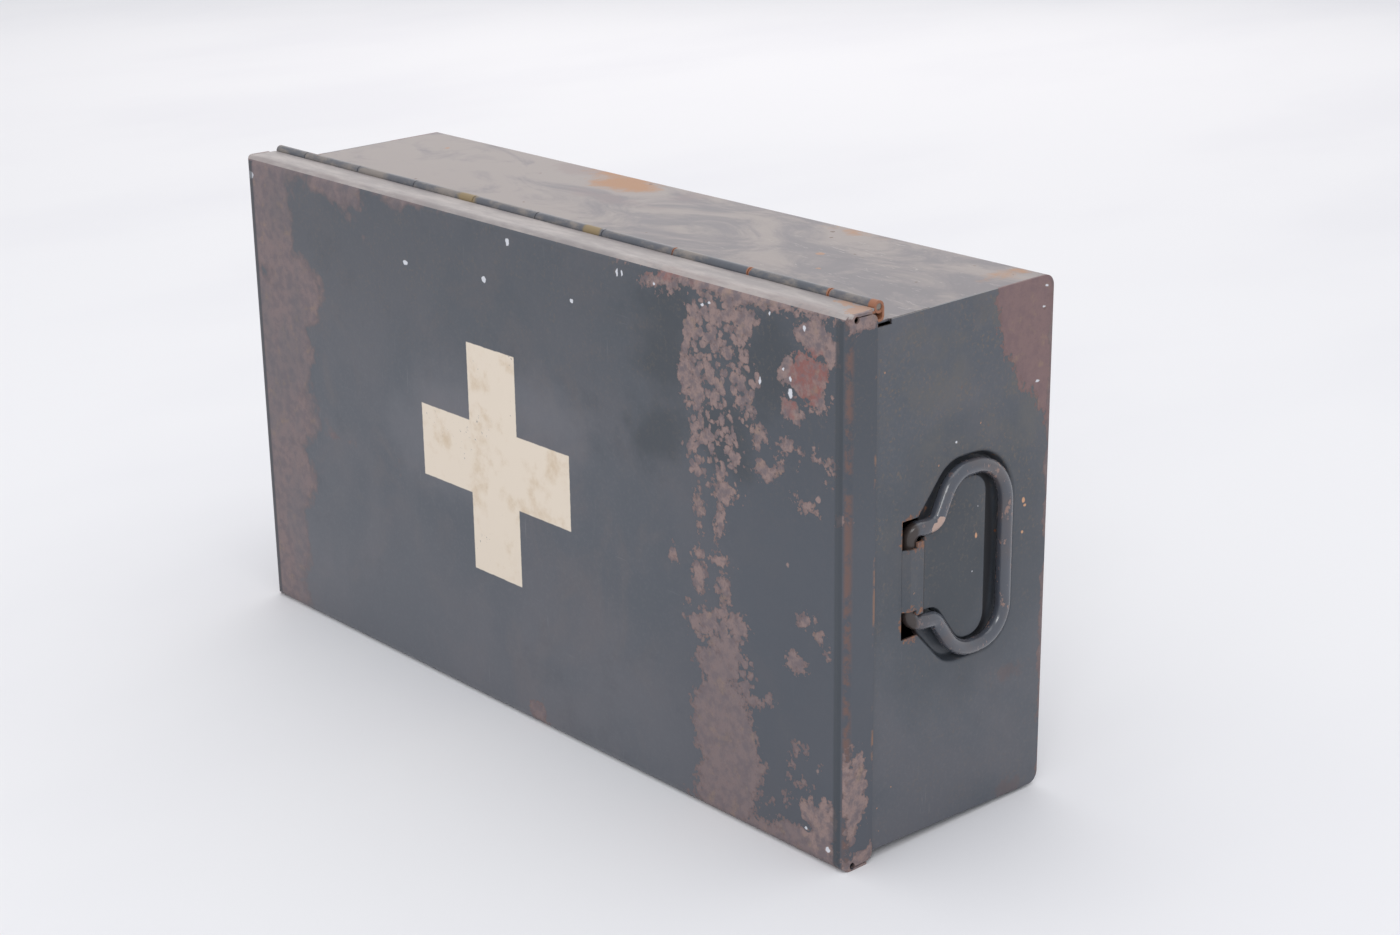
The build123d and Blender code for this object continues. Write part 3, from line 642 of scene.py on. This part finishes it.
# The end panels
def end_paint():
    skin = enamel("end_enamel", warm=0.2)
    scratches(skin, 101)
    flat = skin.join(skin.y, skin.z)
    ragged = skin.warp(flat, 12.0, 2.0, seed=4)

    # Darker about the handle, and brown and olive higher up
    middle = skin.rough_edge(skin.inside(flat, END_MIDDLE), [(30, 16)], seed=102)
    skin.lay(skin.ease(middle, -8.0, 20.0), PAINT_DEEP_AND_SHADE, share=0.45)
    island = skin.ease(skin.inside(flat, ISLAND), -2.0, 8.0)
    skin.lay(island, PAINT_DEEP_AND_SHADE, share=0.8)
    higher = skin.ease(skin.z, 90.0, 170.0)
    stipple(skin, 104, where=skin.spread(higher, 0.35, 1.0), share=0.65)
    olive = skin.ease(skin.noise(24, detail=4, rough=0.6, seed=110), 0.46, 0.66)
    skin.lay(skin.times(olive, higher), PAINT_OLIVE, share=0.5)

    end_rust(skin, flat, ragged)
    end_dish(skin, flat)

    freckles(skin, 107, where=0.85, share=0.25, size=1.0, pitch=8.0)
    freckles(skin, 109, where=0.6, share=0.25, size=2.0, pitch=15.0, colour=RUST_BROWN)
    upper = skin.times(skin.ease(skin.z, 110.0, 190.0), 0.9)
    freckles(skin, 111, where=upper, share=0.5, pitch=4.5, colour=RUST_EDGE)
    freckles(skin, 115, where=0.85, share=0.25, pitch=11.0, colour=RUST_ORANGE)
    freckles(skin, 113, where=skin.times(island, 0.7), share=0.45, size=1.2, pitch=5.0)

    # Tan flakes and white nicks
    skin.lay(skin.ease(skin.inside(ragged, FLAKES), 0.0, 0.4), FLAKE_TAN, MATT)
    nicks = skin.inside(skin.warp(flat, 1.5, 0.6, seed=6), NICKS)
    skin.lay(skin.ease(nicks, 0.0, 0.35), SPECK_WHITE, DULL, height=0.03)
    return skin.close()


def end_rust(skin, flat, ragged):
    """Rust in the upper rear corner, down the rear edge, low down and about the slots."""
    corner = skin.rough_edge(skin.inside(ragged, CORNER_RUST), [(9, 6), (2.6, 5)], seed=103)
    rust(skin, corner, seed=7, pale=0.35, red=0.3)
    edge = skin.math("SUBTRACT", skin.y, CASE_BACK - 1.4)
    edge = skin.rough_edge(edge, [(16, 5), (3, 3)], seed=105)
    rust(skin, edge, seed=8, pale=0.5, share=0.85)
    low = skin.rough_edge(skin.inside(ragged, LOW_FILM), [(5, 8)], seed=106)
    skin.lay(skin.ease(low, -1.0, 3.0), RUST_BROWN, DULL, share=0.35)
    slots = skin.inside(skin.warp(flat, 3.0, 0.8, seed=5), SLOT_RUST)
    slots = skin.rough_edge(slots, [(4, 5), (1.2, 4)], seed=108)
    mottle = skin.ease(skin.noise(1.6, detail=3, seed=112), 0.45, 0.6)
    brown = skin.mix(mottle, RUST_EDGE, RUST_BROWN)
    skin.lay(skin.ease(slots, 0.0, 0.5), brown, MATT, height=0.02)


def end_dish(skin, flat):
    """Dark rust with painted shade down in the slots, and painted shade deep in the groove behind
    the grip.
    """
    out = skin.math("ABSOLUTE", skin.x)
    sunk = skin.ease(out, END_FACE - 0.25, END_FACE - 0.6)
    by_slots = skin.times(sunk, skin.ease(skin.y, SLOTS_END, SLOTS_END - 0.8))
    # Dark rust and painted shade on the sunk sheet by the slots
    skin.lay(by_slots, RUST_DARK_AND_SHADE, CAKED, share=0.9)
    # Painted shade deep in the groove behind the grip
    groove = skin.ease(skin.inside(flat, FAR_GROOVE), 0.0, 2.0)
    deep = skin.ease(out, END_FACE - 1.2, END_FACE - 3.0)
    skin.lay(skin.times(groove, deep), GROOVE_DARK, DULL, share=0.8)


# The handles
def handle_paint():
    skin = Finish("handle_enamel", HANDLE_BLUE, GLOSSY)
    skin.lay(skin.ease(skin.noise(16, detail=4, seed=1), 0.45, 0.7), HANDLE_BROWN, SMOOTH)
    skin.raise_by(skin.times(skin.noise(2.0, detail=3, seed=4), 0.02))

    # Worn through and freckled, mostly on the grip
    grip = skin.math("GREATER_THAN", skin.y, GRIP_START)
    worn = skin.noise(3.2, detail=5, rough=0.7, seed=121, stretch=(1.0, 1.0, 0.6))
    worn = skin.times(skin.ease(worn, 0.58, 0.63), skin.spread(grip, 0.35, 0.9))
    skin.lay(worn, RUST_GRIP, WORN, height=-0.03)
    freckles(skin, 123, where=skin.spread(grip, 0.3, 0.9), share=0.4, size=0.8, pitch=5.0,
             colour=RUST_ORANGE)

    # A chip on the upper arm, and dark rust with painted shade on the roots in their slots
    chip = skin.inside(skin.join(skin.y, skin.z), HANDLE_CHIP)
    chip = skin.rough_edge(chip, [(3, 1.2)], seed=125)
    skin.lay(skin.ease(chip, 0.0, 0.3), CHIP_PINK, MATT, height=-0.05)
    # Dark rust and painted shade on the roots, down in the slots
    within = skin.math("LESS_THAN", skin.math("ABSOLUTE", skin.x), END_FACE + 2.0)
    roots = skin.times(skin.ease(skin.y, ROOTS_END, ROOTS_END - 2.0), within)
    skin.lay(roots, RUST_DARK_AND_SHADE, 0.65, share=0.95)
    return skin.close(coat=0.55, coat_rough=0.06)


# The hinge and the small fittings
def hinge_paint():
    skin = enamel("hinge_enamel")
    grime = skin.noise(9, detail=5, rough=0.7, seed=131, stretch=(0.5, 1.0, 1.0))
    skin.lay(skin.ease(grime, 0.46, 0.66), DUST_HINGE, DULL, share=0.7)
    along = skin.join(skin.x, 0.0)
    ochre = skin.rough_edge(skin.inside(along, OCHRE_BANDS), [(8, 5)], seed=132)
    skin.lay(skin.ease(ochre, 0.0, 3.0), OCHRE, MATT, share=0.85)
    orange = skin.rough_edge(skin.inside(along, ORANGE_BANDS), [(3, 1.2)], seed=134)
    skin.lay(skin.ease(orange, 0.0, 0.5), RUST_ORANGE, MATT, share=0.85)
    freckles(skin, 133, where=0.7, share=0.3, size=0.9, pitch=6.0, colour=RUST_ORANGE)
    return skin.close()


def fitting_paint():
    skin = enamel("fitting_enamel")
    worn = skin.rough_edge(0.6, [(7, 14), (2, 5)], seed=141)
    rust(skin, worn, seed=11, pale=0.6, share=0.9)
    return skin.close()


def inner_paint():
    skin = enamel("inner_enamel")
    worn = skin.rough_edge(1.5, [(6, 14), (2, 5)], seed=151)
    rust(skin, worn, seed=12, pale=0.2, share=0.95)
    return skin.close()


def bare_steel(name):
    """Dulled steel with fine lines along it."""
    skin = Finish(name, STEEL, 0.42)
    stain = skin.noise(3.0, detail=5, rough=0.7, seed=161)
    skin.lay(skin.ease(stain, 0.45, 0.7), STEEL_BROWN, MATT)
    lines = skin.noise(0.35, detail=2, seed=163, stretch=(0.05, 1.0, 1.0))
    skin.raise_by(skin.times(lines, 0.006))
    return skin.close(metallic=0.85)


finishes = {
    "lid_paint": lid_paint(),
    "case_paint": case_paint(),
    "end_paint": end_paint(),
    "hinge_paint": hinge_paint(),
    "handle_paint": handle_paint(),
    "fitting_paint": fitting_paint(),
    "inner_paint": inner_paint(),
    "worn_steel": bare_steel("worn_steel"),
    "bright_wire": bare_steel("bright_wire"),
}
for part in frame["record"]["subparts"]:
    node = nodes[part["node"]]
    node.data.materials.clear()
    node.data.materials.append(finishes[part["material_slot"]])


# Floor
FLOOR_REACH = 9.0


def floor():
    """A wide plain sheet under the box."""
    skin = Finish("floor_cloth", CLOTH, 0.9)
    clouds = skin.noise(260, detail=3, rough=0.5, seed=171, stretch=(1.0, 0.5, 1.0))
    skin.lay(skin.ease(clouds, 0.4, 0.7), CLOTH_SHADE)
    mesh = bpy.data.meshes.new("floor")
    corners = [
        (across * FLOOR_REACH, back * FLOOR_REACH, 0)
        for across, back in ((-1, -1), (1, -1), (1, 1), (-1, 1))
    ]
    mesh.from_pydata(corners, [], [(0, 1, 2, 3)])
    made = bpy.data.objects.new("floor", mesh)
    bpy.context.scene.collection.objects.link(made)
    mesh.materials.append(skin.close(specular=0.2))


floor()


# Light, in metres and watts
def lamp(name, place, aim, size, power, colour=(1.0, 1.0, 1.0)):
    data = bpy.data.lights.new(name, "AREA")
    data.shape = "RECTANGLE"
    data.size, data.size_y = size
    data.energy = power
    data.color = colour
    made = bpy.data.objects.new(name, data)
    made.location = place
    made.rotation_euler = (Vector(aim) - Vector(place)).to_track_quat("-Z", "Y").to_euler()
    bpy.context.scene.collection.objects.link(made)


lamp("overhead", place=(0.1, -0.1, 1.9), aim=(0.0, 0.0, 0.1), size=(1.6, 1.6), power=7.0)
lamp("behind", place=(-1.5, 1.5, 0.95), aim=(0.0, 0.0, 0.2), size=(1.8, 0.9), power=6.0,
     colour=(1.0, 0.92, 0.88))
lamp("front", place=(1.6, -1.7, 1.5), aim=(0.0, -0.2, 0.05), size=(0.9, 0.9), power=14.0)

world = bpy.data.worlds.new("studio")
bpy.context.scene.world = world
world.use_nodes = True
sky = world.node_tree.nodes["Background"]
sky.inputs["Color"].default_value = (0.96, 0.97, 1.0, 1.0)
sky.inputs["Strength"].default_value = 0.86


# Camera, solved from the box's corners in the photograph: radians, metres and a lens in
# millimetres. It looks along forward from a place set off from the aim.
CAMERA_TURN = 0.84537
CAMERA_PITCH = 0.33114
CAMERA_ROLL = -0.012941
CAMERA_AIM = (0.0, 0.00085, 0.115)
CAMERA_ASIDE = 0.037797
CAMERA_BELOW = 0.008463
CAMERA_BACK = 1.12314
CAMERA_LENS = 63.03


def photo_camera():
    level = cos(CAMERA_PITCH)
    forward = Vector((-sin(CAMERA_TURN) * level, cos(CAMERA_TURN) * level, -sin(CAMERA_PITCH)))
    right = Vector((cos(CAMERA_TURN), sin(CAMERA_TURN), 0.0))
    up = right.cross(forward)
    side = cos(CAMERA_ROLL) * right + sin(CAMERA_ROLL) * up
    over = -sin(CAMERA_ROLL) * right + cos(CAMERA_ROLL) * up
    place = Vector(CAMERA_AIM) + CAMERA_ASIDE * side - CAMERA_BELOW * over - CAMERA_BACK * forward
    data = bpy.data.cameras.new("camera")
    data.sensor_fit = "HORIZONTAL"
    data.sensor_width = 36.0
    data.lens = CAMERA_LENS
    data.clip_start = 0.05
    made = bpy.data.objects.new("camera", data)
    made.matrix_world = Matrix((
        (side.x, over.x, -forward.x, place.x),
        (side.y, over.y, -forward.y, place.y),
        (side.z, over.z, -forward.z, place.z),
        (0.0, 0.0, 0.0, 1.0),
    ))
    bpy.context.scene.collection.objects.link(made)
    bpy.context.scene.camera = made


photo_camera()
bpy.context.scene.view_settings.view_transform = "Standard"
